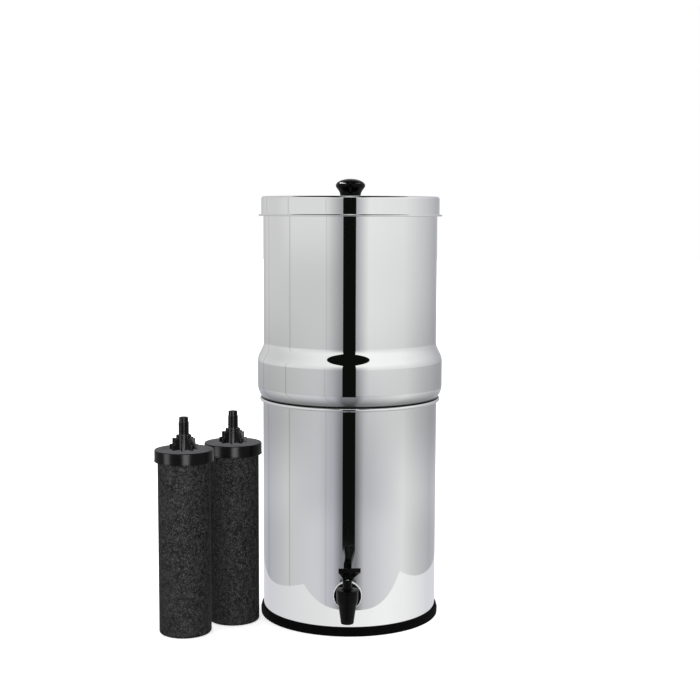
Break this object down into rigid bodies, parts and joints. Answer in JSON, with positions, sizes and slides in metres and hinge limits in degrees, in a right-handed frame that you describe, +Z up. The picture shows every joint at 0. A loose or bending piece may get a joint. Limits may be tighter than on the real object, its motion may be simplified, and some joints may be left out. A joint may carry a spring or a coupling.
{
  "type": "gravity water filter",
  "caption": "Countertop gravity water filter: two stacked round steel chambers with a domed knob on the lid, a self-closing lever tap, and two carbon filter elements standing beside it.",
  "frame": {"origin": "on the floor, on the vessel's vertical axis", "axes": "+Z up; the tap faces -Y; the filter elements stand on the -X side"},
  "size_m": [0.3416, 0.2705, 0.5378],
  "materials": {
    "polished_steel": "mirror polished, with faint spinning marks",
    "steel_fixings": "bright steel",
    "black_rubber": "matt black",
    "soft_rubber": "matt black",
    "clear_rubber": "milky silicone",
    "gloss_black": "glossy black",
    "tap_black": "glossy black",
    "satin_plastic": "satin black",
    "white_plastic": "white",
    "carbon_block": "pressed carbon, finely granular"
  },
  "bodies": {
    "vessel": {"lower_chamber": "polished_steel", "foot_ring": "black_rubber", "tap_body": "tap_black", "tap_outer_washer": "clear_rubber", "tap_inner_washer": "soft_rubber", "tap_nut": "tap_black", "tap_bonnet": "tap_black", "valve_spring": "steel_fixings"},
    "upper_part": {"upper_chamber": "polished_steel", "blocking_plugs": "satin_plastic", "plug_washers": "soft_rubber", "plug_wing_nuts": "satin_plastic"},
    "lid_part": {"lid": "polished_steel", "lid_knob": "gloss_black", "knob_screw": "steel_fixings", "knob_washer": "steel_fixings"},
    "valve": {"seat_cup": "clear_rubber"},
    "stem": {"valve_stem": "white_plastic", "lever_pin": "steel_fixings"},
    "lever": {"tap_lever": "tap_black"},
    "left_element": {"left_element_block": "carbon_block", "left_element_cap": "satin_plastic"},
    "right_element": {"right_element_block": "carbon_block", "right_element_cap": "satin_plastic"}
  },
  "joints": [
    {"name": "upper_chamber_lift", "type": "slide", "parent": "vessel", "child": "upper_part", "axis": [0, 0, 1], "range_m": [0, 0.15]},
    {"name": "lid_lift", "type": "slide", "parent": "upper_part", "child": "lid_part", "axis": [0, 0, 1], "range_m": [0, 0.12]},
    {"name": "stem_lift", "type": "slide", "parent": "vessel", "child": "valve", "axis": [0, 0, 1], "range_m": [0, 0.00273], "deforming": ["valve_spring"]},
    {"name": "lever_swivel", "type": "hinge", "parent": "valve", "child": "stem", "pos_m": [0, -0.1265, 0.0788], "axis": [0, 0, 1], "range_deg": [-90, 90]},
    {"name": "lever_press", "type": "hinge", "parent": "stem", "child": "lever", "pos_m": [0, -0.1265, 0.0788], "axis": [0.9945, 0.1045, 0], "range_deg": [0, 40], "stiffness_Nm_per_rad": 0.1, "springref_deg": -22.92},
    {"name": "left_element_lift", "type": "slide", "parent": "vessel", "child": "left_element", "axis": [-0.3921, -0.31, 0.8661], "range_m": [0, 0.3]},
    {"name": "right_element_lift", "type": "slide", "parent": "vessel", "child": "right_element", "axis": [-0.25, 0.433, 0.866], "range_m": [0, 0.3]}
  ],
  "couplings": [
    {"joint": "stem_lift", "follows": "lever_press", "m_per_rad": 0.0037242}
  ]
}
